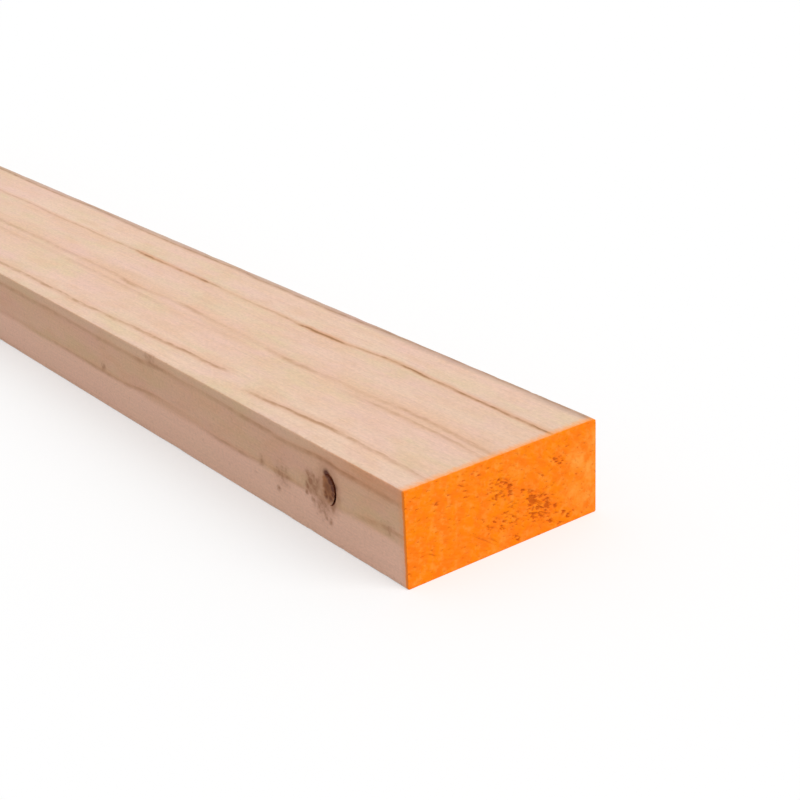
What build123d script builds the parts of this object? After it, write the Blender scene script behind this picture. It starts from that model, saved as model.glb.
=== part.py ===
from build123d import *
import math
import os

# One planed softwood plank: a plain rectangular section with eased long edges and square sawn ends.
# The near side face has one small dead knot, which has dried and shrunk away from the wood on one side.
# Sizes are in millimetres. X runs along the plank to its painted end, Y across its width, and Z up through
# its thickness. The origin is under the middle of the plank, on the face that it lies on.

# Section and length
length = 2438.4
width = 89.0
thickness = 38.0
edge_radius = 0.6  # the planer eases the four long edges

# Place of the knot on the near side face
knot_from_end = 45.7  # its middle, from the painted end
knot_height = 23.0  # its middle, above the face that the plank lies on

# The dead stub of a branch that made the knot. It points into the wood and up, away from the heart of the
# tree, which lay below the plank on its near side.
branch_diameter = 8.8
branch_lean = 42.0  # degrees from square to the side face
branch_taper = 3.0  # degrees on each side, narrowing towards the stub's broken end
socket_taper = 11.0  # the wood that grew round the stub closes in faster, so the gap closes with depth

# The gap that the shrunken branch leaves in its socket
gap_width = 1.7  # where it is widest, on the side face
gap_depth = 5.0  # square to the side face
gap_turn = 45.0  # degrees from the direction of the painted end, turning up, to the widest place


def branch_stub(taper):
    """A round taper as thick as the branch at the side face, reaching past both ends of the gap.

    It is drawn with X along the plank, Y up and Z out of the wood, and the side face at Z = 0.
    """
    slant = math.cos(math.radians(branch_lean))
    radius = branch_diameter / 2
    reach_in = (gap_depth + radius) / slant
    reach_out = radius / slant
    narrowing = math.tan(math.radians(taper))
    stub = Cone(
        bottom_radius=radius - reach_in * narrowing,
        top_radius=radius + reach_out * narrowing,
        height=reach_in + reach_out,
        align=(Align.CENTER, Align.CENTER, Align.MIN),
    )
    return Rot(branch_lean, 0, 0) * Pos(0, 0, -reach_in) * stub


def knot_gap():
    """The crescent of air between the socket and the branch, which has sunk to the far side of it."""
    shrinkage = Vector(-gap_width, 0, 0).rotate(Axis.Z, gap_turn)
    crescent = branch_stub(socket_taper) - Pos(shrinkage) * branch_stub(branch_taper)
    skin = Box(4 * branch_diameter, 4 * branch_diameter, 2 * gap_depth)
    return crescent & skin


def plank():
    """The whole piece, lying flat."""
    blank = Box(length, width, thickness, align=(Align.CENTER, Align.CENTER, Align.MIN))
    blank = fillet(blank.edges().filter_by(Axis.X), edge_radius)
    near_side = Plane.XZ.offset(width / 2)
    knot_place = near_side.location * Pos(length / 2 - knot_from_end, knot_height, 0)
    return blank - knot_place * knot_gap()


os.makedirs("parts", exist_ok=True)
export_step(plank(), "parts/plank.step")
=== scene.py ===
import math

import bpy
from bpy.props import FloatProperty, FloatVectorProperty, PointerProperty, StringProperty
from mathutils import Matrix, Vector


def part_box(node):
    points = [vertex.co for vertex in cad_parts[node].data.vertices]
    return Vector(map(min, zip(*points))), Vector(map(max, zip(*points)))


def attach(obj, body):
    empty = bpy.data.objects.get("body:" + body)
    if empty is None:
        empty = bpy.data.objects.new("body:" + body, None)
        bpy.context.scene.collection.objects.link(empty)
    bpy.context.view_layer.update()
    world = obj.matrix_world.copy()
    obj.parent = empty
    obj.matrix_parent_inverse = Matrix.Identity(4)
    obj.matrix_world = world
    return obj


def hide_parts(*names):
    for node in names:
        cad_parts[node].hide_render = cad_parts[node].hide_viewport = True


bl_info = {
    "name": "Planed pine plank",
    "version": (1, 0, 0),
    "blender": (4, 5, 0),
    "location": "3D View > Sidebar > Timber",
    "description": "A planed pine plank with an orange painted end and a dead knot, and its stage",
    "category": "Object",
}

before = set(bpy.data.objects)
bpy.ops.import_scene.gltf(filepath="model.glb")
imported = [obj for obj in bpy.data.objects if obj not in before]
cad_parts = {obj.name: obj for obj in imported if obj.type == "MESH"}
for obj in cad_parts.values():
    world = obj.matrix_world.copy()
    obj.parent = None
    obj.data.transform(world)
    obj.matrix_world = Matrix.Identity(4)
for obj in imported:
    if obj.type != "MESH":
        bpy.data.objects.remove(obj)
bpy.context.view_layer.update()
LOW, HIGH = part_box("plank")
LENGTH, WIDTH, THICKNESS = HIGH - LOW
MM = 0.001
HAIR = 0.01 * MM  # closer than this to a plane counts as on it
NEAR_STRETCH = 500 * MM  # the stretch next to the painted end, which is modelled and baked the finest
WHOLE_LENGTH = (LOW.x - LENGTH, HIGH.x + LENGTH)  # a stretch that takes in all of the plank
PAINTED, SAWN, STAINED = 1, 2, 3  # material slots, after slot 0 of the planed faces
SMOOTH = {"interpolation_type": "SMOOTHSTEP"}  # a range that eases in and out

# The heart of the tree, in millimetres from the near side and from the underside. The rings are circles
# round it, so they cross the painted end from its upper left to its lower right.
HEART = (-70.0, -140.0)
RING_SPAN = (140.0, 250.0)  # the least and the most that a ring can be from the heart

# Growth rings, from the heart outwards. Each is followed along one face, as points of (millimetres from the
# painted end, millimetres across the top from the near side, or up the near side). Its darkness is given
# the same way, and its width is the late wood's, in millimetres out from the heart. Its warmth is how much
# the wood warms in colour on the way to it, and its fade is how far that goes on past it.
RINGS = (
    {
        "face": "side", "width": 0.8, "warmth": 0.5, "fade": 2.0,
        "path": ((0, 0.6), (300, 1.6), (800, -1.5), (1500, 2.0), (2438, -1.0)),
        "dark": ((0, 0.0), (300, 0.1), (600, 0.5), (1200, 0.6), (2438, 0.5)),
    },
    {
        "face": "side", "width": 1.3, "warmth": 0.5, "fade": 2.0,
        "path": (
            (0, 19.6), (15, 20.0), (30, 18.5), (50, 17.0), (66, 17.3), (90, 17.5), (100, 16.8), (130, 16.9),
            (155, 19.0), (180, 19.4), (200, 17.3), (230, 16.9), (265, 17.4), (500, 15.5), (900, 19.0),
            (1500, 16.0), (2000, 18.5), (2438, 17.0),
        ),
        "dark": (
            (0, 0.1), (10, 0.3), (24, 0.2), (32, 0.05), (60, 0.1), (72, 0.3), (90, 0.15), (105, 0.35),
            (130, 0.15), (145, 0.05), (165, 0.15), (200, 0.3), (260, 0.25), (290, 0.1), (600, 0.4),
            (1200, 0.6), (2438, 0.5),
        ),
    },
    {
        "face": "side", "width": 1.5, "warmth": 0.6, "fade": 2.0,
        "path": (
            (0, 32.9), (30, 32.8), (38, 33.0), (46, 33.9), (52, 33.9), (62, 33.1), (72, 32.8), (90, 33.0),
            (115, 33.5), (130, 34.0), (150, 33.6), (170, 34.0), (182, 33.2), (200, 33.0), (230, 32.7),
            (260, 33.3), (320, 33.0), (600, 31.0), (1000, 33.5), (1600, 31.5), (2438, 33.0),
        ),
        "dark": (
            (0, 0.25), (25, 0.35), (45, 0.6), (60, 0.4), (75, 0.3), (90, 0.45), (110, 0.35), (140, 0.2),
            (155, 0.3), (175, 0.45), (200, 0.25), (225, 0.3), (250, 0.25), (300, 0.35), (900, 0.6),
            (1500, 0.9), (2438, 0.7),
        ),
    },
    {
        "face": "top", "width": 0.65, "warmth": 0.15, "fade": 2.0,
        "path": (
            (0, 11.8), (20, 12.4), (35, 13.0), (50, 13.3), (65, 12.6), (80, 11.3), (95, 10.0), (115, 9.0),
            (200, 4.0), (2438, 1.0),
        ),
        "dark": (
            (0, 0.35), (40, 0.35), (62, 0.55), (90, 0.55), (108, 0.5), (119, 0.0), (140, 0.0), (2438, 0.0),
        ),
    },
    {
        "face": "top", "width": 0.65, "warmth": 0.15, "fade": 2.0,
        "path": (
            (0, 15.5), (100, 14.8), (136, 14.0), (150, 13.3), (190, 12.6), (205, 11.9), (220, 10.9),
            (240, 10.0), (260, 9.4), (290, 9.5), (330, 8.2), (500, 8.5), (900, 12.5), (1300, 10.0),
            (1800, 13.5), (2438, 11.0),
        ),
        "dark": (
            (0, 0.0), (126, 0.0), (138, 0.4), (165, 0.55), (200, 0.5), (240, 0.4), (290, 0.5), (340, 0.4),
            (700, 0.6), (1200, 0.9), (1900, 0.6), (2438, 0.8),
        ),
    },
    {
        "face": "top", "width": 0.9, "warmth": 0.8, "fade": 8.0,
        "path": (
            (0, 37.4), (40, 38.4), (60, 38.3), (85, 36.8), (120, 36.0), (160, 36.5), (200, 34.5),
            (260, 35.5), (330, 35.0), (600, 32.0), (1200, 36.0), (2438, 34.0),
        ),
        "dark": (
            (0, 0.15), (35, 0.25), (65, 0.25), (84, 0.1), (96, 0.0), (140, 0.0), (165, 0.1), (200, 0.05),
            (250, 0.15), (330, 0.1), (600, 0.3), (1200, 0.1), (2438, 0.3),
        ),
    },
    {
        "face": "top", "width": 1.1, "warmth": 0.9, "fade": 9.0,
        "path": (
            (0, 42.0), (20, 42.3), (50, 43.0), (62, 42.5), (75, 41.5), (95, 41.0), (110, 40.2), (125, 39.5),
            (140, 39.9), (155, 41.0), (185, 41.0), (215, 42.3), (230, 41.5), (265, 39.9), (280, 40.8),
            (325, 40.5), (400, 40.6), (700, 37.5), (1100, 41.0), (1700, 38.0), (2438, 42.0),
        ),
        "dark": (
            (0, 0.15), (50, 0.3), (68, 0.15), (108, 0.15), (120, 0.4), (136, 0.3), (150, 0.1), (196, 0.1),
            (212, 0.35), (228, 0.12), (250, 0.2), (265, 0.45), (276, 0.2), (330, 0.2), (600, 0.5),
            (1100, 0.35), (1800, 0.6), (2438, 0.4),
        ),
    },
    {
        "face": "top", "width": 0.7, "warmth": 0.8, "fade": 1.5,
        "path": (
            (0, 69.0), (60, 68.8), (80, 69.2), (100, 69.0), (113, 68.2), (130, 67.0), (150, 66.4),
            (190, 66.4), (240, 66.7), (265, 66.6), (285, 66.2), (305, 66.4), (330, 65.9), (475, 65.9),
            (800, 69.5), (1300, 66.0), (1900, 70.0), (2438, 67.0),
        ),
        "dark": (
            (0, 0.6), (12, 0.85), (60, 0.75), (92, 0.9), (113, 0.5), (128, 0.7), (146, 1.35), (158, 1.1),
            (170, 0.35), (225, 0.25), (246, 0.9), (272, 0.85), (288, 1.35), (304, 1.0), (314, 0.3),
            (470, 0.3), (560, 0.7), (1000, 0.9), (1600, 0.6), (2438, 0.9),
        ),
    },
    # This last ring runs along the far top edge, where its dark line is partly painted shade along that
    # edge
    {
        "face": "top", "width": 0.7, "warmth": 0.5, "fade": 2.0,
        "path": (
            (0, 88.2), (60, 88.2), (130, 87.5), (150, 86.6), (175, 86.0), (200, 86.5), (225, 86.1),
            (245, 87.0), (260, 86.5), (290, 86.0), (305, 85.5), (360, 86.5), (390, 87.3), (425, 85.8),
            (480, 86.0), (515, 86.9), (900, 84.5), (1500, 87.0), (2438, 85.0),
        ),
        "dark": (
            (0, 0.4), (80, 0.4), (150, 0.5), (220, 0.4), (270, 0.5), (350, 0.4), (430, 0.5), (700, 0.5),
            (1500, 0.7), (2438, 0.5),
        ),
    },
)

# Torn places in the painted end, as soft spots of (millimetres from the near side, up from the underside,
# radius, strength). They lie along the rings, densest low on the far half.
TORN_SPOTS = (
    (57.6, 15.2, 4.2, 1.0), (61.6, 15.6, 2.2, 0.8), (64.6, 10.6, 3.0, 0.95), (65.0, 13.2, 1.8, 0.65),
    (57.8, 8.6, 2.6, 0.85), (61.8, 7.0, 2.4, 0.65), (68.2, 9.2, 2.4, 0.7), (72.4, 5.2, 2.2, 0.75),
    (74.8, 3.2, 2.2, 0.8), (70.8, 1.4, 2.0, 1.0), (66.4, 3.6, 2.6, 0.6), (46.6, 24.2, 2.8, 0.85),
    (47.0, 21.8, 2.0, 0.85), (40.6, 22.3, 1.8, 0.8), (43.6, 21.3, 1.8, 0.65), (53.0, 20.6, 2.2, 0.75),
    (56.4, 18.6, 2.6, 0.7), (37.2, 28.0, 1.8, 0.65), (41.2, 27.2, 2.2, 0.6), (30.2, 35.0, 1.6, 0.6),
    (33.0, 33.2, 2.0, 0.45), (24.4, 31.8, 3.6, 0.3), (13.4, 28.0, 3.2, 0.3), (26.4, 27.6, 3.0, 0.3),
    (50.4, 18.6, 1.8, 0.55), (36.8, 10.9, 2.6, 0.6), (39.4, 12.4, 2.2, 0.55), (42.4, 8.8, 3.0, 0.45),
    (47.4, 9.8, 2.4, 0.5), (49.2, 3.4, 2.2, 0.6), (51.0, 1.8, 1.8, 0.6), (68.2, 28.6, 1.9, 0.7),
    (71.6, 26.4, 2.2, 0.7), (62.2, 23.6, 1.4, 0.6), (48.4, 16.4, 2.4, 0.45), (82.0, 12.4, 2.0, 0.35),
    (61.5, 11.0, 11.0, 0.6), (48.0, 12.0, 9.0, 0.35), (43.0, 25.0, 9.0, 0.45), (70.0, 27.0, 6.0, 0.4),
)

# Long tears along the rings in the painted end, as (from the near side, up, half length)
TEARS = ((34.0, 7.4, 7.5), (11.0, 9.8, 3.5), (45.0, 27.6, 4.5), (57.5, 19.0, 4.0), (38.5, 5.8, 4.0))

# Places where the paint is thin and paler, and where it is thick and redder, written as the torn places are
THIN_SPOTS = (
    (80.0, 25.5, 8.0, 1.0), (86.5, 19.0, 8.0, 0.9), (87.5, 30.0, 7.0, 0.8), (77.0, 12.0, 8.0, 0.5),
    (84.0, 8.0, 9.0, 0.7), (44.0, 4.5, 4.0, 0.6), (25.0, 34.0, 3.0, 0.35), (50.0, 30.0, 6.0, 0.3),
)
THICK_SPOTS = (
    (79.0, 34.0, 5.0, 0.9), (72.0, 24.0, 6.0, 0.5), (62.0, 5.0, 8.0, 0.6), (2.5, 12.0, 6.0, 0.5),
    (24.0, 9.0, 9.0, 0.5), (27.0, 30.0, 8.0, 0.45), (57.0, 26.0, 7.0, 0.3),
)

# Brown flecks round the knot, as soft spots of (millimetres from the painted end, up from the underside,
# radius, strength)
KNOT_FLECKS = (
    (57.4, 21.4, 3.8, 1.0), (59.8, 18.8, 3.2, 0.95), (60.4, 16.0, 2.4, 0.7), (58.8, 24.4, 3.0, 0.8),
    (55.4, 24.6, 2.6, 0.6), (52.8, 22.8, 3.0, 0.65), (49.4, 14.6, 3.6, 0.7), (52.6, 13.2, 3.6, 0.6),
    (46.0, 9.2, 2.8, 0.7), (48.2, 9.6, 2.2, 0.6), (56.6, 14.6, 3.2, 0.6), (44.0, 15.4, 3.4, 0.6),
    (79.8, 10.4, 2.6, 0.65), (78.4, 17.2, 4.4, 0.6), (73.4, 17.0, 3.2, 0.6), (91.0, 18.0, 4.0, 0.45),
    (10.0, 20.0, 5.0, 0.45), (40.4, 21.0, 2.8, 0.5), (220.0, 19.0, 4.0, 0.55), (175.0, 35.5, 7.0, 0.45),
    (56.0, 20.0, 9.0, 0.75), (51.0, 14.0, 9.0, 0.6), (77.0, 17.0, 9.0, 0.5),
)

# Dark stain over the knot's own wood, beside its gap and along its lower rim, written as the flecks are
# Beside the gap the stain is partly painted shade, widening the gap's dark opening
KNOT_STAINS_AND_GAP_SHADE = (
    (44.6, 25.8, 3.6, 1.0), (46.6, 28.0, 3.2, 1.0), (43.6, 23.2, 2.8, 0.9), (43.6, 20.6, 2.4, 0.7),
    (45.4, 18.6, 2.4, 0.6), (47.8, 18.6, 2.0, 0.5), (41.6, 24.6, 2.6, 0.6), (46.6, 22.6, 4.4, 0.45),
    (43.2, 17.6, 2.6, 0.35), (48.4, 20.0, 1.6, 0.5),
)


def linear(colour):
    """The linear colour of an sRGB hex value."""
    parts = [int(colour[i : i + 2], 16) / 255 for i in (1, 3, 5)]
    return (*(p / 12.92 if p <= 0.04045 else ((p + 0.055) / 1.055) ** 2.4 for p in parts), 1.0)


def add(tree, kind, *values, **named):
    """Add a node and return its first output.

    Values go to its inputs in order, and None leaves one as it is. A name with a capital is an input, and
    any other is one of the node's own settings. A socket is linked.
    """
    node = tree.nodes.new(kind)
    for name, value in named.items():
        if not name[0].isupper():
            setattr(node, name, value)
    pairs = list(zip([s for s in node.inputs if s.enabled], values))
    pairs += [(node.inputs[name], value) for name, value in named.items() if name[0].isupper()]
    for socket, value in pairs:
        if isinstance(value, bpy.types.NodeSocket):
            tree.links.new(value, socket)
        elif value is not None:
            socket.default_value = value
    return next(s for s in node.outputs if s.enabled)


class PlankShape(bpy.types.PropertyGroup):
    """Sizes of the plank's own features."""

    edge_radius: FloatProperty(
        name="Edge radius", description="Radius to which the planer eases the four long edges",
        default=0.6 * MM, unit="LENGTH",
    )
    end_wear: FloatProperty(
        name="End edge wear", description="How far the sharp edges of the sawn ends are rubbed off",
        default=0.25 * MM, unit="LENGTH",
    )
    knot_from_end: FloatProperty(
        name="Knot from end", description="Middle of the knot, from the painted end",
        default=45.7 * MM, unit="LENGTH",
    )
    knot_height: FloatProperty(
        name="Knot height", description="Middle of the knot, above the underside",
        default=23.0 * MM, unit="LENGTH",
    )
    branch_diameter: FloatProperty(
        name="Branch diameter", description="Thickness of the dead branch that made the knot",
        default=8.8 * MM, unit="LENGTH",
    )
    branch_lean: FloatProperty(
        name="Branch lean", description="Lean of the branch from square to the side face",
        default=math.radians(42.0), subtype="ANGLE",
    )
    branch_taper: FloatProperty(
        name="Branch taper", description="Taper of the branch on each side, inwards",
        default=math.radians(3.0), subtype="ANGLE",
    )
    socket_taper: FloatProperty(
        name="Socket taper", description="Taper of the wood round the branch, on each side, inwards",
        default=math.radians(11.0), subtype="ANGLE",
    )
    gap_width: FloatProperty(
        name="Gap width", description="Widest opening between the shrunken branch and the wood",
        default=1.7 * MM, unit="LENGTH",
    )
    gap_depth: FloatProperty(
        name="Gap depth", description="Depth of that opening, square to the side face",
        default=5.0 * MM, unit="LENGTH",
    )
    gap_turn: FloatProperty(
        name="Gap turn", description="Where it is widest, turning up from the painted end's direction",
        default=math.radians(45.0), subtype="ANGLE",
    )
    pit_depth: FloatProperty(
        name="Pit depth", description="Depth of the torn places in the painted end",
        default=0.5 * MM, unit="LENGTH",
    )
    edge_knocks: FloatProperty(
        name="Edge knocks", description="Depth of the deepest knocks along the edges",
        default=0.4 * MM, unit="LENGTH",
    )


class PlankFinish(bpy.types.PropertyGroup):
    """Colours of the wood and of its paint, as sRGB hex values."""

    early_wood: StringProperty(
        name="Early wood", description="Pale wood just outside a ring", default="#E9C9B1",
    )
    warm_wood: StringProperty(
        name="Warm wood", description="Denser wood as a ring nears its end", default="#E4BB9D",
    )
    rose_wood: StringProperty(
        name="Rose wood", description="Pinker patches", default="#E8C0B1",
    )
    straw_wood: StringProperty(
        name="Straw wood", description="Yellower patches", default="#E0C5A2",
    )
    ring_fringe: StringProperty(
        name="Ring fringe", description="Orange tinge beside a dark line", default="#D89F78",
    )
    late_wood: StringProperty(
        name="Late wood", description="Thin dark line that ends a ring", default="#A16F3E",
    )
    # Partly painted shade: it browns and darkens both narrow sides
    side_brown_and_shade: StringProperty(
        name="Side tint", description="Browning of the narrow side faces", default="#FFEFE2",
    )
    side_top_tint: StringProperty(
        name="Side top tint", description="Browning of their upper band near the end", default="#FAE6D6",
    )
    side_straw: StringProperty(
        name="Side straw", description="Yellower wood of that band farther on", default="#E2C4A0",
    )
    # Painted light: it stands in for light thrown up by the floor onto the low part of the sides
    low_side_bounce_light: StringProperty(
        name="Low side", description="Pinker, paler early wood low on the sides", default="#FBD9CB",
    )
    # Painted shade along the far top edge
    far_edge_shade: StringProperty(
        name="Edge tint", description="Greying of the far top edge", default="#E0E1E4",
    )
    knot_wood: StringProperty(
        name="Knot wood", description="Sawn face of the dead branch", default="#AE7145",
    )
    # Also the colour of the painted shade laid beside the knot's gap
    knot_rim: StringProperty(
        name="Knot rim", description="Bark and stain left round the branch", default="#5C2402",
    )
    knot_halo: StringProperty(
        name="Knot halo", description="Swirled wood round the knot", default="#C79273",
    )
    fleck: StringProperty(
        name="Fleck", description="Short brown flecks of torn grain near the knot", default="#AC7656",
    )
    gap_wall: StringProperty(
        name="Gap wall", description="Pitch-stained wall of the gap beside the knot", default="#66280A",
    )
    end_early: StringProperty(
        name="End early wood", description="Early wood on the plain sawn end", default="#D9B48E",
    )
    end_late: StringProperty(
        name="End late wood", description="Late wood on the plain sawn end", default="#A9764B",
    )
    paint: StringProperty(
        name="Paint", description="Orange end paint at its usual thickness", default="#FB8300",
    )
    paint_thick: StringProperty(
        name="Thick paint", description="Redder places in the paint", default="#FB7A0C",
    )
    paint_thin: StringProperty(
        name="Thin paint", description="Pale places where the paint is thin", default="#FC9B3C",
    )
    # Also darkens the torn pits themselves, partly as painted shade
    paint_pit: StringProperty(
        name="Paint in pits", description="Paint and bare grain down in the torn places", default="#C45505",
    )


class StageSetup(bpy.types.PropertyGroup):
    """Camera, lights and floor."""

    camera_ahead: FloatProperty(
        name="Camera ahead", description="How far the camera stands past the painted end",
        default=0.3955, unit="LENGTH",
    )
    camera_aside: FloatProperty(
        name="Camera aside", description="How far it stands out from the near side",
        default=0.2892, unit="LENGTH",
    )
    camera_height: FloatProperty(
        name="Camera height", description="Its height above the floor",
        default=0.2809, unit="LENGTH",
    )
    camera_azimuth: FloatProperty(
        name="Camera azimuth", description="Its turn from looking straight at the near side",
        default=math.radians(53.79), subtype="ANGLE",
    )
    camera_elevation: FloatProperty(
        name="Camera elevation", description="How steeply it looks down",
        default=math.radians(23.11), subtype="ANGLE",
    )
    camera_roll: FloatProperty(
        name="Camera roll", description="Its turn about its own axis",
        default=math.radians(-2.84), subtype="ANGLE",
    )
    camera_lens: FloatProperty(
        name="Camera lens", description="Focal length in millimetres on a 36 mm sensor", default=72.87,
    )
    sky_level: FloatProperty(
        name="Sky level", description="Light from all round, where 1 lights a face fully", default=0.62,
    )
    key_level: FloatProperty(
        name="Key level", description="Strength of the soft key light", default=1.95,
    )
    key_towards: FloatVectorProperty(
        name="Key towards", description="Where the key light stands, seen from the plank",
        default=(0.46, 0.15, 0.38), subtype="DIRECTION",
    )
    key_softness: FloatProperty(
        name="Key softness", description="Apparent width of the key light",
        default=math.radians(50.0), subtype="ANGLE",
    )
    floor_size: FloatProperty(
        name="Floor size", description="Width of the square floor", default=30.0, unit="LENGTH",
    )
    floor_grey: FloatProperty(
        name="Floor grey", description="How much light the floor throws back at the plank", default=0.55,
    )


def station(from_end):
    """Place along the plank as 0 to 1, with more of the range given to the wood near the painted end."""
    return math.sqrt(from_end * MM / LENGTH)


def ring_radius(face, across):
    """Distance from the heart of a ring that crosses the top or the near side at this place."""
    if face == "top":
        return math.hypot(across - HEART[0], THICKNESS / MM - HEART[1])
    return math.hypot(HEART[0], across - HEART[1])


def follow(tree, along, points, low, high):
    """A value from low to high that runs smoothly through points of (millimetres from the end, value)."""
    curve = add(tree, "ShaderNodeFloatCurve", Value=along)
    line = curve.node.mapping.curves[0]
    shares = [(station(x), (y - low) / (high - low)) for x, y in points]
    for x, y in shares[1:-1]:
        line.points.new(x, y)
    line.points[0].location = shares[0]
    line.points[-1].location = shares[-1]
    curve.node.mapping.update()
    return add(tree, "ShaderNodeMath", curve, high - low, low, operation="MULTIPLY_ADD")


def streaky(tree, place, long, wide, detail=3.0):
    """Noise drawn out along the plank: each streak is this long and wide, in millimetres."""
    drawn = add(tree, "ShaderNodeVectorMath", place, (1 / long, 1 / wide, 1 / wide), operation="MULTIPLY")
    return add(tree, "ShaderNodeTexNoise", drawn, Scale=1.0, Detail=detail, Roughness=0.55)


def from_painted_end(tree, place):
    """Millimetres from the painted end, from the near side and up from the underside."""
    return add(
        tree, "ShaderNodeVectorMath", place,
        (-1 / MM, 1 / MM, 1 / MM), (HIGH.x / MM, -LOW.y / MM, -LOW.z / MM),
        operation="MULTIPLY_ADD",
    )


def out_from_heart(tree, place):
    """Millimetres out from the heart of the tree, and round it, along the rings."""
    centred = add(tree, "ShaderNodeVectorMath", place, (0, -HEART[0], -HEART[1]), operation="ADD")
    _, aside, above = add(tree, "ShaderNodeSeparateXYZ", centred).node.outputs
    flat = add(tree, "ShaderNodeCombineXYZ", 0.0, aside, above)
    out = add(tree, "ShaderNodeVectorMath", flat, operation="LENGTH").node.outputs["Value"]
    turn = add(tree, "ShaderNodeMath", above, aside, operation="ARCTAN2")
    return out, add(tree, "ShaderNodeMath", out, turn, operation="MULTIPLY")


def strongest(tree, values):
    """The largest of several values."""
    most = values[0]
    for value in values[1:]:
        most = add(tree, "ShaderNodeMath", value, most, operation="MAXIMUM")
    return most


def soft_spots(tree, place, spots):
    """The strongest, at a place, of soft round spots of (first place, second place, radius, strength)."""
    shades = []
    for across, up, radius, strength in spots:
        gap = add(tree, "ShaderNodeVectorMath", place, (across, up, 0), operation="DISTANCE").node
        shades.append(
            add(tree, "ShaderNodeMapRange", gap.outputs["Value"], radius, 0.0, 0.0, strength, **SMOOTH)
        )
    return strongest(tree, shades)


def growth_rings(tree, place):
    """Late wood, the orange fringe beside it, and the warm wood before it, at a place, each from 0 to 1."""
    out, _ = out_from_heart(tree, place)
    wavers = ((22, 60, 1.3), (6, 2.5, 0.5))  # the length, width and most sway of each, in millimetres
    for long, wide, most in wavers:
        sway = streaky(tree, place, long, wide)
        out = add(tree, "ShaderNodeMath", sway, most, out, operation="MULTIPLY_ADD")
    mean_sway = sum(most for _, _, most in wavers) / 2
    darkest = 2.0
    fringe_reach = 2.0
    warming_reach = 12.0
    patchy = add(tree, "ShaderNodeMapRange", streaky(tree, place, 7.0, 2.5, 5.0), 0.38, 0.62, 0.4, 1.25)
    from_end = add(tree, "ShaderNodeSeparateXYZ", place)
    along = add(tree, "ShaderNodeMath", from_end, MM / LENGTH, operation="MULTIPLY", use_clamp=True)
    along = add(tree, "ShaderNodeMath", along, operation="SQRT")
    lines, fringes, warmths = [], [], []
    for ring in RINGS:
        path = [(x, ring_radius(ring["face"], y) + mean_sway) for x, y in ring["path"]]
        radius = follow(tree, along, path, *RING_SPAN)
        dark = follow(tree, along, ring["dark"], 0.0, darkest)
        past = add(tree, "ShaderNodeMath", out, radius, operation="SUBTRACT")
        # Late wood darkens slowly on its way out, and ends sharply
        wide = ring["width"]
        rise = add(tree, "ShaderNodeMapRange", past, -1.5 * wide, -0.25 * wide, **SMOOTH)
        fall = add(tree, "ShaderNodeMapRange", past, 0.0, 0.5 * wide, 1.0, 0.0, **SMOOTH)
        there = add(tree, "ShaderNodeMath", rise, fall, operation="MULTIPLY")
        line = add(tree, "ShaderNodeMath", there, dark, operation="MULTIPLY")
        lines.append(add(tree, "ShaderNodeMath", line, patchy, operation="MULTIPLY"))
        apart = add(tree, "ShaderNodeMath", past, operation="ABSOLUTE")
        near = add(
            tree, "ShaderNodeMapRange", apart, fringe_reach, 0.0, 0.0, 0.6,
            interpolation_type="SMOOTHERSTEP",
        )
        fringes.append(add(tree, "ShaderNodeMath", near, dark, operation="MULTIPLY"))
        swell = add(tree, "ShaderNodeMapRange", past, -warming_reach, 0.0, 0.0, ring["warmth"])
        fade = add(tree, "ShaderNodeMapRange", past, 0.0, ring["fade"], 1.0, 0.0, **SMOOTH)
        warmths.append(add(tree, "ShaderNodeMath", swell, fade, operation="MULTIPLY"))
    return strongest(tree, lines), strongest(tree, fringes), strongest(tree, warmths)


def end_streaks(tree, place):
    """Short strokes along the rings in the sawn end, from nearly 0 to 1."""
    out, around = out_from_heart(tree, place)
    drawn = add(tree, "ShaderNodeMath", around, 0.3, operation="MULTIPLY")
    here = add(tree, "ShaderNodeCombineXYZ", out, drawn, 0.0)
    noise = add(tree, "ShaderNodeTexNoise", here, Scale=0.65, Detail=4.0, Roughness=0.6)
    return add(tree, "ShaderNodeMapRange", noise, 0.3, 0.7, 0.05, 1.0)


def torn_grain(tree, place):
    """How far the painted end's grain is torn out, from 0 to 1: ragged pits, and a few long tears."""
    out, around = out_from_heart(tree, place)
    drawn = add(tree, "ShaderNodeMath", around, 0.7, operation="MULTIPLY")
    here = add(tree, "ShaderNodeCombineXYZ", out, drawn, 0.0)
    grain = add(tree, "ShaderNodeTexNoise", here, Scale=0.72, Detail=2.5, Roughness=0.6)
    _, across_end, up_end = add(tree, "ShaderNodeSeparateXYZ", place).node.outputs
    flat = add(tree, "ShaderNodeCombineXYZ", across_end, up_end, 0.0)
    # Only the strongest grain is torn out on its own, and a torn spot makes up for weaker grain
    crowd = soft_spots(tree, flat, TORN_SPOTS)
    torn = add(tree, "ShaderNodeMath", crowd, 0.36, grain, operation="MULTIPLY_ADD")
    depths = [add(tree, "ShaderNodeMapRange", torn, 0.565, 0.83, **SMOOTH)]
    most_sway = 1.4
    waver = add(tree, "ShaderNodeMath", grain, most_sway, out, operation="MULTIPLY_ADD")
    track = add(tree, "ShaderNodeCombineXYZ", waver, around, 0.0)
    half_width = 0.45
    tear_depth = 0.45
    for across, up, half_length in TEARS:
        y, z = across - HEART[0], up - HEART[1]
        squeeze = (1, half_width / half_length, 0)
        radius = math.hypot(y, z)
        middle = (radius + most_sway / 2, radius * math.atan2(z, y) * squeeze[1], 0)
        near = add(tree, "ShaderNodeVectorMath", track, squeeze, operation="MULTIPLY")
        gap = add(tree, "ShaderNodeVectorMath", near, middle, operation="DISTANCE").node.outputs["Value"]
        depths.append(add(tree, "ShaderNodeMapRange", gap, half_width, 0.1, 0.0, tear_depth, **SMOOTH))
    return strongest(tree, depths)


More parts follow.
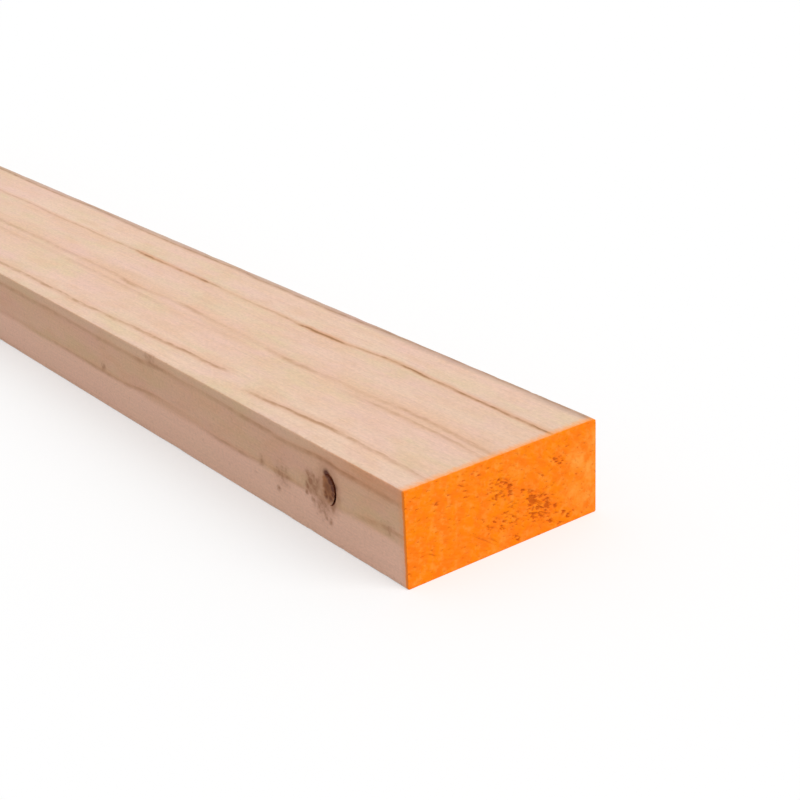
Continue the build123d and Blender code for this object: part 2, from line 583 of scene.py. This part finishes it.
def knot_reach(tree, place, shape):
    """Distance from the knot's middle over the side face, where 1 is the branch's own edge."""
    radius = shape.branch_diameter / 2
    squeeze = (MM / radius, 0, MM / radius * math.cos(shape.branch_lean))
    middle = (shape.knot_from_end / radius, 0, shape.knot_height / radius * math.cos(shape.branch_lean))
    here = add(tree, "ShaderNodeVectorMath", place, squeeze, operation="MULTIPLY")
    return add(tree, "ShaderNodeVectorMath", here, middle, operation="DISTANCE").node.outputs["Value"]


def knot_middle(shape):
    """The middle of the knot's mouth, on the near side face."""
    return Vector((HIGH.x - shape.knot_from_end, LOW.y, LOW.z + shape.knot_height))


def pick(piece, mode, test):
    """Leave the piece in edit mode with only those edges or faces selected whose corners pass a test."""
    bpy.ops.object.mode_set(mode="EDIT")
    bpy.ops.mesh.select_mode(type=mode)
    bpy.ops.mesh.select_all(action="DESELECT")
    bpy.ops.object.mode_set(mode="OBJECT")
    corners = [v.co.copy() for v in piece.data.vertices]
    chosen = []
    for part in piece.data.edges if mode == "EDGE" else piece.data.polygons:
        part.select = test([corners[i] for i in part.vertices])
        if part.select:
            chosen.append([corners[i] for i in part.vertices])
    bpy.ops.object.mode_set(mode="EDIT")
    return chosen


def runs_along(axis, shortest=0.0, between=WHOLE_LENGTH):
    """A test for edges along one axis, no shorter than given, with their middle between two X places."""

    def test(ends):
        run = ends[1] - ends[0]
        long_enough = abs(run[axis]) >= max(shortest, 0.999 * run.length)
        return long_enough and between[0] < (ends[0].x + ends[1].x) / 2 < between[1]

    return test


def slice_at(axis, place):
    """Cut the whole piece's faces along a plane square to one axis."""
    across = Vector((0, 0, 0))
    across[axis] = 1
    snap = 0.001 * MM
    bpy.ops.mesh.select_all(action="SELECT")
    bpy.ops.mesh.bisect(plane_co=across * place, plane_no=across, threshold=snap)


def divide(piece, pitch, axis, between=WHOLE_LENGTH):
    """Split the longer edges along one axis into lengths of about one pitch."""
    chosen = pick(piece, "EDGE", runs_along(axis, 2 * pitch, between))
    longest = max((ends[1] - ends[0]).length for ends in chosen)
    bpy.ops.mesh.subdivide(number_cuts=round(longest / pitch) - 1)


def sawn_block(shape):
    """The planed and sawn block, with a fine grid on the painted end and round the knot."""
    bpy.ops.object.select_all(action="DESELECT")
    bpy.ops.mesh.primitive_cube_add(size=1, location=(LOW + HIGH) / 2, scale=(LENGTH, WIDTH, THICKNESS))
    bpy.ops.object.transform_apply(location=True, rotation=True, scale=True)
    block = bpy.context.object
    block.name = block.data.name = "planed_plank"

    pick(block, "EDGE", runs_along(0))
    bpy.ops.mesh.bevel(offset=shape.edge_radius, segments=4, affect="EDGES")
    pick(block, "EDGE", lambda ends: any(all(abs(e.x - x) < HAIR for e in ends) for x in (LOW.x, HIGH.x)))
    bpy.ops.mesh.bevel(offset=shape.end_wear, segments=3, affect="EDGES")
    for axis in (1, 2):
        for place in (LOW[axis] + shape.edge_radius, HIGH[axis] - shape.edge_radius):
            slice_at(axis, place)
        # The cuts pass so close to the bevel's own corners that the slivers between them are merged away
        bpy.ops.mesh.select_all(action="SELECT")
        bpy.ops.mesh.remove_doubles(threshold=0.05 * MM)
        divide(block, 1 * MM, axis)

    knot = knot_middle(shape)
    reach = 2.0 * shape.branch_diameter
    near_end = HIGH.x - NEAR_STRETCH
    far_join = (near_end + LOW.x) / 2
    # Each stretch's start and stop along the plank, and how far apart its cuts lie
    stretches = (
        (HIGH.x, knot.x + reach, 4 * MM),
        (knot.x + reach, knot.x - reach, 1 * MM),
        (knot.x - reach, near_end, 8 * MM),
        (near_end, far_join, 50 * MM),
        (far_join, LOW.x, 50 * MM),
    )
    for _, stop, _ in stretches[:-1]:
        slice_at(0, stop)
    for start, stop, pitch in stretches:
        divide(block, pitch, 0, (stop, start))

    pick(block, "FACE", lambda corners: all(abs(c.x - HIGH.x) < HAIR for c in corners))
    bpy.ops.mesh.subdivide(number_cuts=2)

    def by_knot(corners):
        middle = sum(corners, Vector()) / len(corners)
        aside = abs(middle.x - knot.x)
        above = abs(middle.z - knot.z)
        return all(abs(c.y - LOW.y) < HAIR for c in corners) and aside < reach / 2 and above < reach / 2

    pick(block, "FACE", by_knot)
    bpy.ops.mesh.subdivide(number_cuts=2)
    bpy.ops.object.mode_set(mode="OBJECT")
    return block


def apply_modifier(piece, kind, **settings):
    """Work a modifier with these settings into a piece for good."""
    bpy.ops.object.select_all(action="DESELECT")
    piece.select_set(True)
    bpy.context.view_layer.objects.active = piece
    step = piece.modifiers.new(kind, kind)
    for name, value in settings.items():
        setattr(step, name, value)
    bpy.ops.object.modifier_apply(modifier=step.name)


def carve(target, tool, operation):
    """Cut or trim the target with a tool, which is used up."""
    apply_modifier(target, "BOOLEAN", operation=operation, solver="EXACT", object=tool)
    bpy.data.objects.remove(tool)


def branch_stub(shape, taper, moved):
    """The branch's round taper through the side face, pointing up into the wood."""
    radius = shape.branch_diameter / 2
    reach_in = (shape.gap_depth + radius) / math.cos(shape.branch_lean)
    reach_out = radius / math.cos(shape.branch_lean)
    outwards = Vector((0, -math.cos(shape.branch_lean), -math.sin(shape.branch_lean)))
    bpy.ops.object.select_all(action="DESELECT")
    bpy.ops.mesh.primitive_cone_add(
        vertices=96,
        radius1=radius - reach_in * math.tan(taper),
        radius2=radius + reach_out * math.tan(taper),
        depth=reach_in + reach_out,
        location=knot_middle(shape) + moved + outwards * (reach_out - reach_in) / 2,
        rotation=(math.pi / 2 + shape.branch_lean, 0, 0),
    )
    return bpy.context.object


def open_knot_gap(block, shape):
    """Open the crescent that the shrunken branch has left in its socket."""
    sunk = Vector((-math.cos(shape.gap_turn), 0, -math.sin(shape.gap_turn))) * shape.gap_width
    crescent = branch_stub(shape, shape.socket_taper, Vector())
    carve(crescent, branch_stub(shape, shape.branch_taper, sunk), "DIFFERENCE")
    bpy.ops.mesh.primitive_cube_add(
        size=1,
        location=knot_middle(shape),
        scale=(4 * shape.branch_diameter, 2 * shape.gap_depth, 4 * shape.branch_diameter),
    )
    carve(crescent, bpy.context.object, "INTERSECT")
    carve(block, crescent, "DIFFERENCE")


def relief(shape):
    """Nodes that press the surface in: torn end grain, the sunken knot and small knocks along the edges."""
    tree = bpy.data.node_groups.new("relief", "GeometryNodeTree")
    tree.interface.new_socket("Geometry", in_out="INPUT", socket_type="NodeSocketGeometry")
    tree.interface.new_socket("Geometry", in_out="OUTPUT", socket_type="NodeSocketGeometry")
    mesh = add(tree, "NodeGroupInput")
    place = from_painted_end(tree, add(tree, "GeometryNodeInputPosition"))
    from_end, across, up = add(tree, "ShaderNodeSeparateXYZ", place).node.outputs

    stroke_depth = 0.06 * MM
    torn = add(tree, "ShaderNodeMath", torn_grain(tree, place), shape.pit_depth, operation="MULTIPLY")
    strokes = end_streaks(tree, place)
    pressed = add(tree, "ShaderNodeMath", strokes, stroke_depth, torn, operation="MULTIPLY_ADD")
    on_end = add(tree, "ShaderNodeMapRange", from_end, 0.05, 0.0)
    pressed = add(tree, "ShaderNodeMath", pressed, on_end, operation="MULTIPLY")

    dish_depth = 0.3 * MM
    away = knot_reach(tree, place, shape)
    dish = add(tree, "ShaderNodeMapRange", away, 1.2, 0.75, 0.0, dish_depth, **SMOOTH)
    on_side = add(tree, "ShaderNodeMapRange", across, 0.05, 0.0)
    pressed = add(tree, "ShaderNodeMath", dish, on_side, pressed, operation="MULTIPLY_ADD")

    # The knocks fade out from 0.3 to 1.1 mm away from an edge
    knocks = streaky(tree, place, 7.0, 30.0, 4.0)
    knocks = add(tree, "ShaderNodeMapRange", knocks, 0.52, 0.8, 0.0, shape.edge_knocks)
    for part, size in ((across, WIDTH), (up, THICKNESS)):
        other = add(tree, "ShaderNodeMath", size / MM, part, operation="SUBTRACT")
        nearest = add(tree, "ShaderNodeMath", part, other, operation="MINIMUM")
        close = add(tree, "ShaderNodeMapRange", nearest, 1.1, 0.3, **SMOOTH)
        knocks = add(tree, "ShaderNodeMath", knocks, close, operation="MULTIPLY")
    pressed = add(tree, "ShaderNodeMath", knocks, pressed, operation="ADD")

    push = add(tree, "ShaderNodeMath", pressed, -1.0, operation="MULTIPLY")
    normal = add(tree, "GeometryNodeInputNormal")
    offset = add(tree, "ShaderNodeVectorMath", normal, operation="SCALE", Scale=push)
    moved = add(tree, "GeometryNodeSetPosition", mesh, None, None, offset)
    tree.links.new(moved, tree.nodes.new("NodeGroupOutput").inputs[0])
    return tree


def new_material(name):
    """An empty material, its node tree and its surface socket."""
    material = bpy.data.materials.new(name)
    material.use_nodes = True
    material.node_tree.nodes.clear()
    output = material.node_tree.nodes.new("ShaderNodeOutputMaterial")
    return material, material.node_tree, output.inputs["Surface"]


def coat(tree, surface, colour, height, roughness, gloss, depth=1.0):
    """Give a surface its colour, its finest relief as a height in metres, its roughness and its gloss."""
    bump = add(tree, "ShaderNodeBump", Height=height, Distance=1.0, Strength=depth)
    shader = add(
        tree, "ShaderNodeBsdfPrincipled", Normal=bump, Roughness=roughness,
        **{"Base Color": colour, "Specular IOR Level": gloss},
    )
    tree.links.new(shader, surface)


def tinge(tree, amount, colour, towards, mode="MIX"):
    """Change a colour towards another by an amount from 0 to 1."""
    return add(tree, "ShaderNodeMix", amount, colour, linear(towards), data_type="RGBA", blend_type=mode)


# In the finishes, a range's first two numbers are millimetres where it reads a place, and otherwise the
# values of a noise between which it fades in. Its last two are how much of the change it gives.


def painted_end_grain(finish):
    """Orange marking paint on end grain: a matt, soaked-in coat that shows the saw's strokes and tears."""
    material, tree, surface = new_material("orange marking paint on end grain")
    place = from_painted_end(tree, add(tree, "ShaderNodeTexCoord").node.outputs["Object"])
    _, across, up = add(tree, "ShaderNodeSeparateXYZ", place).node.outputs
    flat = add(tree, "ShaderNodeCombineXYZ", across, up, 0.0)
    cloud = add(tree, "ShaderNodeTexNoise", place, Scale=0.16, Detail=4.0, Roughness=0.6)
    ragged = add(tree, "ShaderNodeMapRange", cloud, 0.36, 0.62)

    thick = add(tree, "ShaderNodeMapRange", cloud, 0.56, 0.42)
    colour = tinge(tree, thick, linear(finish.paint), finish.paint_thick)
    rubbed = add(tree, "ShaderNodeTexNoise", place, Scale=0.3, Detail=4.0, Roughness=0.65)
    rubbed = add(tree, "ShaderNodeMapRange", rubbed, 0.5, 0.68, 0.0, 0.6)
    colour = tinge(tree, rubbed, colour, finish.paint_thin)
    for spots, towards in ((THICK_SPOTS, finish.paint_thick), (THIN_SPOTS, finish.paint_thin)):
        amount = add(tree, "ShaderNodeMath", soft_spots(tree, flat, spots), ragged, operation="MULTIPLY")
        amount = add(tree, "ShaderNodeMath", amount, 1.6, operation="MULTIPLY", use_clamp=True)
        colour = tinge(tree, amount, colour, towards)
    strokes = end_streaks(tree, place)
    pale = add(tree, "ShaderNodeMapRange", strokes, 0.5, 1.0, 0.0, 0.3)
    colour = tinge(tree, pale, colour, finish.paint_thin)
    dark = add(tree, "ShaderNodeMapRange", strokes, 0.4, 0.0, 0.0, 0.16)
    colour = tinge(tree, dark, colour, finish.paint_pit)
    # Darker in the torn pits, which the relief presses in: torn grain, and partly painted shade
    torn = add(tree, "ShaderNodeMath", torn_grain(tree, place), 0.9, operation="MULTIPLY")
    colour = tinge(tree, torn, colour, finish.paint_pit)

    stroke_height, grit_height = -0.02 * MM, 0.05 * MM
    grit = add(tree, "ShaderNodeTexNoise", place, Scale=2.2, Detail=3.0)
    height = add(tree, "ShaderNodeMath", strokes, stroke_height, operation="MULTIPLY")
    height = add(tree, "ShaderNodeMath", grit, grit_height, height, operation="MULTIPLY_ADD")
    coat(tree, surface, colour, height, roughness=0.7, gloss=0.1)
    return material


def dead_knot(tree, place, colour, shape, finish):
    """Lay the small dead knot over the wood: halo, flecks, brown heart, and dark stains, partly painted
    shade.
    """
    rag = add(tree, "ShaderNodeTexNoise", place, Scale=0.45, Detail=3.0, Roughness=0.6)
    away = add(tree, "ShaderNodeMath", rag, 1.0, knot_reach(tree, place, shape), operation="MULTIPLY_ADD")
    away = add(tree, "ShaderNodeMath", away, 0.5, operation="SUBTRACT")
    halo = add(tree, "ShaderNodeMapRange", away, 2.3, 0.9, 0.0, 0.75, **SMOOTH)
    heart = add(tree, "ShaderNodeMapRange", away, 1.15, 0.7, **SMOOTH)
    from_end, across, up = add(tree, "ShaderNodeSeparateXYZ", place).node.outputs
    flat = add(tree, "ShaderNodeCombineXYZ", from_end, up, 0.0)
    on_near_side = add(tree, "ShaderNodeMapRange", across, 1.5, 0.5)
    grain = add(tree, "ShaderNodeTexNoise", place, Scale=0.4, Detail=3.0, Roughness=0.6)
    crowd = soft_spots(tree, flat, KNOT_FLECKS)
    flecks = add(tree, "ShaderNodeMath", crowd, 0.5, grain, operation="MULTIPLY_ADD")
    flecks = add(tree, "ShaderNodeMapRange", flecks, 0.54, 1.0, 0.0, 0.65, **SMOOTH)
    shade = add(tree, "ShaderNodeMath", crowd, 0.45, flecks, operation="MULTIPLY_ADD", use_clamp=True)
    mottle = add(tree, "ShaderNodeMapRange", grain, 0.42, 0.62, 0.0, 0.26)
    mottle = add(tree, "ShaderNodeMath", mottle, heart, operation="MULTIPLY")
    # Bark stain on the knot, and beside its gap partly painted shade
    stain = add(tree, "ShaderNodeMath", grain, -1.4, 2.1, operation="MULTIPLY_ADD")
    stain = add(tree, "ShaderNodeMath", soft_spots(tree, flat, KNOT_STAINS_AND_GAP_SHADE), stain, operation="MULTIPLY")
    stain = add(tree, "ShaderNodeMath", stain, mottle, operation="MAXIMUM")
    for amount, towards in (
        (halo, finish.knot_halo), (shade, finish.fleck),
        (heart, finish.knot_wood), (stain, finish.knot_rim),
    ):
        amount = add(tree, "ShaderNodeMath", amount, on_near_side, operation="MULTIPLY", use_clamp=True)
        colour = tinge(tree, amount, colour, towards)
    return colour


def on_sides(tree, across):
    """1 on the two narrow side faces, and 0 on the two wide ones."""
    half = WIDTH / MM / 2
    off_middle = add(tree, "ShaderNodeMath", across, half, operation="SUBTRACT")
    off_middle = add(tree, "ShaderNodeMath", off_middle, operation="ABSOLUTE")
    return add(tree, "ShaderNodeMapRange", off_middle, half - 0.5, half - 0.2)


def patchy_wood(tree, place, colour, finish):
    """Lay rosy and straw-coloured patches over the wood, the largest a hand long and a finger wide."""
    for towards, seed, long, wide, most in (
        (finish.rose_wood, 3.0, 60.0, 20.0, 0.7), (finish.straw_wood, 11.0, 50.0, 15.0, 0.9),
        (finish.warm_wood, 19.0, 22.0, 8.0, 0.6), (finish.rose_wood, 27.0, 14.0, 6.0, 0.4),
    ):
        moved = add(tree, "ShaderNodeVectorMath", place, (seed * 100, seed * 7, seed * 7), operation="ADD")
        share = streaky(tree, moved, long, wide)
        share = add(tree, "ShaderNodeMapRange", share, 0.43, 0.72, 0.0, most, **SMOOTH)
        colour = tinge(tree, share, colour, towards)
    return colour


def weathered_wood(tree, place, side, uneven, colour, finish):
    """Brown the narrow sides a little, partly as painted shade, and paint shade along the far top edge."""
    from_end, across, up = add(tree, "ShaderNodeSeparateXYZ", place).node.outputs
    # Painted shade, partly: the narrow sides are browned and darkened
    colour = tinge(tree, side, colour, finish.side_brown_and_shade, "MULTIPLY")
    # The sides' upper band is the brownest near the painted end, and a little yellower farther on
    upper = add(tree, "ShaderNodeMath", uneven, 5.0, up, operation="MULTIPLY_ADD")
    upper = add(tree, "ShaderNodeMapRange", upper, 33.0, 38.0)
    upper = add(tree, "ShaderNodeMath", upper, side, operation="MULTIPLY")
    by_end = add(tree, "ShaderNodeMapRange", from_end, 25.0, 70.0, 1.0, 0.0)
    brown = add(tree, "ShaderNodeMath", upper, by_end, operation="MULTIPLY")
    colour = tinge(tree, brown, colour, finish.side_top_tint, "MULTIPLY")
    straw = add(tree, "ShaderNodeMath", upper, brown, operation="SUBTRACT")
    straw = add(tree, "ShaderNodeMath", straw, 0.2, operation="MULTIPLY")
    colour = tinge(tree, straw, colour, finish.side_straw)
    # Painted shade greys the far top edge
    painted_edge_shade = add(tree, "ShaderNodeMath", uneven, -4.0, across, operation="MULTIPLY_ADD")
    painted_edge_shade = add(tree, "ShaderNodeMapRange", painted_edge_shade, 82.0, 85.0)
    high = add(tree, "ShaderNodeMapRange", up, 34.5, 37.5)
    painted_edge_shade = add(tree, "ShaderNodeMath", painted_edge_shade, high, operation="MULTIPLY")
    return tinge(tree, painted_edge_shade, colour, finish.far_edge_shade, "MULTIPLY")


def drifted_paint(tree, place, side, colour, finish):
    """Lay the end's sprayed coat over the wood beside it.

    It has drifted a few millimetres over the wide faces, and hardly over the sides, where it has only run
    over the corner.
    """
    from_end = add(tree, "ShaderNodeSeparateXYZ", place)
    ragged = add(tree, "ShaderNodeTexNoise", place, Scale=0.55, Detail=4.0, Roughness=0.7)
    reach = add(tree, "ShaderNodeMath", ragged, -5.0, from_end, operation="MULTIPLY_ADD")
    drift = add(tree, "ShaderNodeMapRange", reach, 2.4, -2.8, **SMOOTH)
    most = add(tree, "ShaderNodeMapRange", side, 0.0, 1.0, 0.8, 0.35)
    drift = add(tree, "ShaderNodeMath", drift, most, operation="MULTIPLY")
    colour = tinge(tree, drift, colour, finish.paint_thin)
    run = add(tree, "ShaderNodeMath", ragged, -1.4, from_end, operation="MULTIPLY_ADD")
    run = add(tree, "ShaderNodeMath", side, -0.7, run, operation="MULTIPLY_ADD")
    run = add(tree, "ShaderNodeMapRange", run, 0.3, -0.5, 0.0, 0.9, **SMOOTH)
    return tinge(tree, run, colour, finish.paint)


def planed_pine(shape, finish):
    """Planed pine: pale wood that warms towards each thin late-wood line, with long fine fibres."""
    material, tree, surface = new_material("planed pine")
    place = from_painted_end(tree, add(tree, "ShaderNodeTexCoord").node.outputs["Object"])
    _, across, up = add(tree, "ShaderNodeSeparateXYZ", place).node.outputs
    line, fringe, warm = growth_rings(tree, place)
    side = on_sides(tree, across)
    uneven = streaky(tree, place, 30.0, 12.0)
    colour = tinge(tree, warm, linear(finish.early_wood), finish.warm_wood)
    colour = patchy_wood(tree, place, colour, finish)

    # Painted light from the floor: the narrow sides are paler and pinker below the ring at their middle
    low = add(tree, "ShaderNodeMath", uneven, -3.0, up, operation="MULTIPLY_ADD")
    low = add(tree, "ShaderNodeMapRange", low, 16.4, 13.2, 0.0, 0.75, **SMOOTH)
    low = add(tree, "ShaderNodeMath", low, side, operation="MULTIPLY")
    colour = tinge(tree, low, colour, finish.low_side_bounce_light)

    # Real fibres and pores are too fine to show, so they are drawn this many millimetres wide
    fibre_width = 0.8
    fibres = streaky(tree, place, 35.0, fibre_width)
    pores = streaky(tree, place, 1.6, fibre_width, 2.0)
    shade = add(tree, "ShaderNodeMapRange", fibres, 0.3, 0.7, 0.95, 1.035)
    spark = add(tree, "ShaderNodeMapRange", pores, 0.3, 0.7, 0.935, 1.065)
    shade = add(tree, "ShaderNodeMath", shade, spark, operation="MULTIPLY")
    colour = add(tree, "ShaderNodeVectorMath", colour, operation="SCALE", Scale=shade)

    colour = tinge(tree, fringe, colour, finish.ring_fringe)
    colour = tinge(tree, line, colour, finish.late_wood)
    colour = weathered_wood(tree, place, side, uneven, colour, finish)
    colour = dead_knot(tree, place, colour, shape, finish)
    colour = drifted_paint(tree, place, side, colour, finish)

    line_height, fibre_height, pore_height = 0.04 * MM, 0.03 * MM, 0.03 * MM
    height = add(tree, "ShaderNodeMath", line, line_height, operation="MULTIPLY")
    height = add(tree, "ShaderNodeMath", fibres, fibre_height, height, operation="MULTIPLY_ADD")
    height = add(tree, "ShaderNodeMath", pores, pore_height, height, operation="MULTIPLY_ADD")
    rough = add(tree, "ShaderNodeMapRange", line, 0.0, 1.0, 0.62, 0.5)
    coat(tree, surface, colour, height, rough, gloss=0.3, depth=0.8)
    return material


def stained_gap(finish):
    """Bark and dried pitch on the gap's walls: dark red-brown and rough, with crumbs and paler scars."""
    material, tree, surface = new_material("bark and dried pitch")
    place = from_painted_end(tree, add(tree, "ShaderNodeTexCoord").node.outputs["Object"])
    crumbs = add(tree, "ShaderNodeTexNoise", place, Scale=1.6, Detail=4.0, Roughness=0.65)
    scars = add(tree, "ShaderNodeMapRange", crumbs, 0.5, 0.75, 0.0, 0.5)
    colour = tinge(tree, scars, linear(finish.gap_wall), finish.knot_wood)
    crumb_height = 0.2 * MM
    height = add(tree, "ShaderNodeMath", crumbs, crumb_height, operation="MULTIPLY")
    coat(tree, surface, colour, height, roughness=0.75, gloss=0.3)
    return material


def sawn_end_grain(finish):
    """Sawn pine end grain: darker than the planed faces, rough and matt, with the rings as arcs."""
    material, tree, surface = new_material("sawn pine end grain")
    place = from_painted_end(tree, add(tree, "ShaderNodeTexCoord").node.outputs["Object"])
    line, _, warm = growth_rings(tree, place)
    late = add(tree, "ShaderNodeMath", warm, 0.45, line, operation="MULTIPLY_ADD", use_clamp=True)
    strokes = end_streaks(tree, place)
    late = add(tree, "ShaderNodeMath", strokes, 0.3, late, operation="MULTIPLY_ADD", use_clamp=True)
    colour = tinge(tree, late, linear(finish.end_early), finish.end_late)
    stroke_height = -0.12 * MM
    height = add(tree, "ShaderNodeMath", strokes, stroke_height, operation="MULTIPLY")
    coat(tree, surface, colour, height, roughness=0.8, gloss=0.2)
    return material


def dress(block, shape, finish):
    """Give each part of the surface its finish."""
    for material in (
        planed_pine(shape, finish), painted_end_grain(finish), sawn_end_grain(finish), stained_gap(finish),
    ):
        block.data.materials.append(material)
    gap_reach = 1.5 * shape.branch_diameter
    for face in block.data.polygons:
        from_knot = face.center - knot_middle(shape)
        if face.center.x > HIGH.x - shape.end_wear:
            face.material_index = PAINTED
        elif face.center.x < LOW.x + shape.end_wear:
            face.material_index = SAWN
        elif from_knot.y > HAIR and from_knot.length < gap_reach:
            face.material_index = STAINED


def lay_out_bake(block):
    """Lay the faces out on the square picture that the finishes are baked into.

    The long faces are unrolled into three strips, one above the other, and the stretch next to the painted
    end gets most of the room. The two ends and the gap's walls lie between the first strip and the second.
    """
    # Rows and lefts are in pixels, and scales in pixels to a millimetre
    picture = 1024
    left = 8
    # Each strip's start along the plank, its lowest row, and its scales along the plank and round it
    far_join = (LENGTH + NEAR_STRETCH) / 2
    strips = ((0.0, 8, 2.0, 2.0), (NEAR_STRETCH, 684, 1.0, 0.63), (far_join, 852, 1.0, 0.63))
    # Where each long face begins, going round the plank from the underside's far edge
    near_side, top, far_side = WIDTH, WIDTH + THICKNESS, 2 * WIDTH + THICKNESS
    end_lefts = {PAINTED: left, SAWN: 376}
    end_row = 524
    end_scale = 4
    gap_left, gap_row = 640, 490
    gap_spread = 6  # the deeper a wall lies, the farther aside, so that the two walls don't overlap
    bake = block.data.uv_layers.new(name="OFBake")
    for face in block.data.polygons:
        finish = face.material_index
        for loop in face.loop_indices:
            x, y, z = block.data.vertices[block.data.loops[loop].vertex_index].co
            from_end, across, up = (HIGH.x - x) / MM, (y - LOW.y) / MM, (z - LOW.z) / MM
            if finish in end_lefts:
                place = end_lefts[finish] + end_scale * across, end_row + end_scale * up
            elif finish == STAINED:
                aside = gap_spread * across
                place = gap_left + end_scale * from_end + aside, gap_row + end_scale * up + aside
            else:
                if abs(face.normal.y) > abs(face.normal.z):
                    round_it = near_side + z - LOW.z if face.normal.y < 0 else far_side + HIGH.z - z
                else:
                    round_it = HIGH.y - y if face.normal.z < 0 else top + y - LOW.y
                middle = HIGH.x - face.center.x
                start, row, long_scale, round_scale = max(s for s in strips if s[0] <= middle)
                place = left + long_scale * (from_end - start / MM), row + round_scale * round_it / MM
            bake.data[loop].uv = place[0] / picture, place[1] / picture


class TIMBER_OT_plank(bpy.types.Operator):
    """Make the plank: sawn and planed block, knot gap, worn edges and torn end grain, with its finishes"""

    bl_idname = "timber.plank"
    bl_label = "Make plank"

    def execute(self, context):
        shape = context.scene.plank_shape
        block = sawn_block(shape)
        open_knot_gap(block, shape)
        dress(block, shape, context.scene.plank_finish)
        lay_out_bake(block)
        apply_modifier(block, "NODES", node_group=relief(shape))
        bpy.ops.object.shade_smooth_by_angle(angle=math.radians(50))
        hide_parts("plank")
        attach(block, "root")
        return {"FINISHED"}


class TIMBER_OT_stage(bpy.types.Operator):
    """Set the stage: white floor, soft key light, light from all round, and the camera"""

    bl_idname = "timber.stage"
    bl_label = "Set stage"

    def execute(self, context):
        setup = context.scene.plank_stage
        context.scene.view_settings.view_transform = "Standard"
        bpy.ops.object.select_all(action="DESELECT")
        bpy.ops.mesh.primitive_plane_add(size=setup.floor_size)
        floor = context.object
        floor.name = "floor"
        floor.data.materials.append(white_floor(setup))
        light_all_round(context.scene, setup)

        bpy.ops.object.light_add(type="SUN")
        key = context.object
        key.name = "key"
        key.rotation_mode = "QUATERNION"
        key.rotation_quaternion = Vector(setup.key_towards).to_track_quat("Z", "Y")
        key.data.energy = setup.key_level
        key.data.angle = setup.key_softness

        turn = (
            Matrix.Rotation(setup.camera_azimuth, 4, "Z")
            @ Matrix.Rotation(math.pi / 2 - setup.camera_elevation, 4, "X")
            @ Matrix.Rotation(setup.camera_roll, 4, "Z")
        )
        bpy.ops.object.camera_add(
            location=(HIGH.x + setup.camera_ahead, LOW.y - setup.camera_aside, LOW.z + setup.camera_height),
            rotation=turn.to_euler(),
        )
        camera = context.object
        camera.name = "camera"
        camera.data.sensor_width = 36.0
        camera.data.lens = setup.camera_lens
        camera.data.clip_start = 0.01
        context.scene.camera = camera
        return {"FINISHED"}


def seen_directly(tree):
    """1 on rays from the camera, from gloss and through glass, and 0 on rays that light something."""
    path = add(tree, "ShaderNodeLightPath").node.outputs
    seen = add(tree, "ShaderNodeMath", path["Is Camera Ray"], path["Is Glossy Ray"], operation="MAXIMUM")
    return add(tree, "ShaderNodeMath", seen, path["Is Transmission Ray"], operation="MAXIMUM")


def white_floor(setup):
    """Matt white card: it keeps the plank's soft shadow and otherwise looks as white as the background."""
    material, tree, surface = new_material("matt white card")
    grey = setup.floor_grey
    card = add(tree, "ShaderNodeBsdfDiffuse", (grey, grey, grey, 1.0))
    lift = add(tree, "ShaderNodeMath", seen_directly(tree), 1.0 - grey, operation="MULTIPLY")
    glow = add(tree, "ShaderNodeEmission", (1.0, 1.0, 1.0, 1.0), lift)
    tree.links.new(add(tree, "ShaderNodeAddShader", card, glow), surface)
    return material


def light_all_round(scene, setup):
    """A world that lights from all sides and is seen as plain white."""
    world = bpy.data.worlds.new("white surround")
    world.use_nodes = True
    tree = world.node_tree
    tree.nodes.clear()
    level = add(tree, "ShaderNodeMapRange", seen_directly(tree), 0.0, 1.0, setup.sky_level, 1.0)
    glow = add(tree, "ShaderNodeBackground", (1.0, 1.0, 1.0, 1.0), level)
    tree.links.new(glow, tree.nodes.new("ShaderNodeOutputWorld").inputs["Surface"])
    scene.world = world


class TIMBER_PT_sidebar(bpy.types.Panel):
    """Lists what this add-on makes, with its sizes and colours"""

    bl_label = "Pine plank"
    bl_idname = "TIMBER_PT_sidebar"
    bl_space_type = "VIEW_3D"
    bl_region_type = "UI"
    bl_category = "Timber"

    def draw(self, context):
        for operator, settings in (
            (TIMBER_OT_stage, context.scene.plank_stage),
            (TIMBER_OT_plank, context.scene.plank_shape),
            (None, context.scene.plank_finish),
        ):
            box = self.layout.box()
            if operator:
                box.operator(operator.bl_idname)
            for name in settings.__annotations__:
                box.prop(settings, name)


CLASSES = (PlankShape, PlankFinish, StageSetup, TIMBER_OT_plank, TIMBER_OT_stage, TIMBER_PT_sidebar)


def register():
    for each in CLASSES:
        bpy.utils.register_class(each)
    bpy.types.Scene.plank_shape = PointerProperty(type=PlankShape)
    bpy.types.Scene.plank_finish = PointerProperty(type=PlankFinish)
    bpy.types.Scene.plank_stage = PointerProperty(type=StageSetup)


def unregister():
    del bpy.types.Scene.plank_shape, bpy.types.Scene.plank_finish, bpy.types.Scene.plank_stage
    for each in reversed(CLASSES):
        bpy.utils.unregister_class(each)


def main():
    register()
    bpy.ops.timber.stage()
    bpy.ops.timber.plank()


if __name__ == "__main__":
    main()
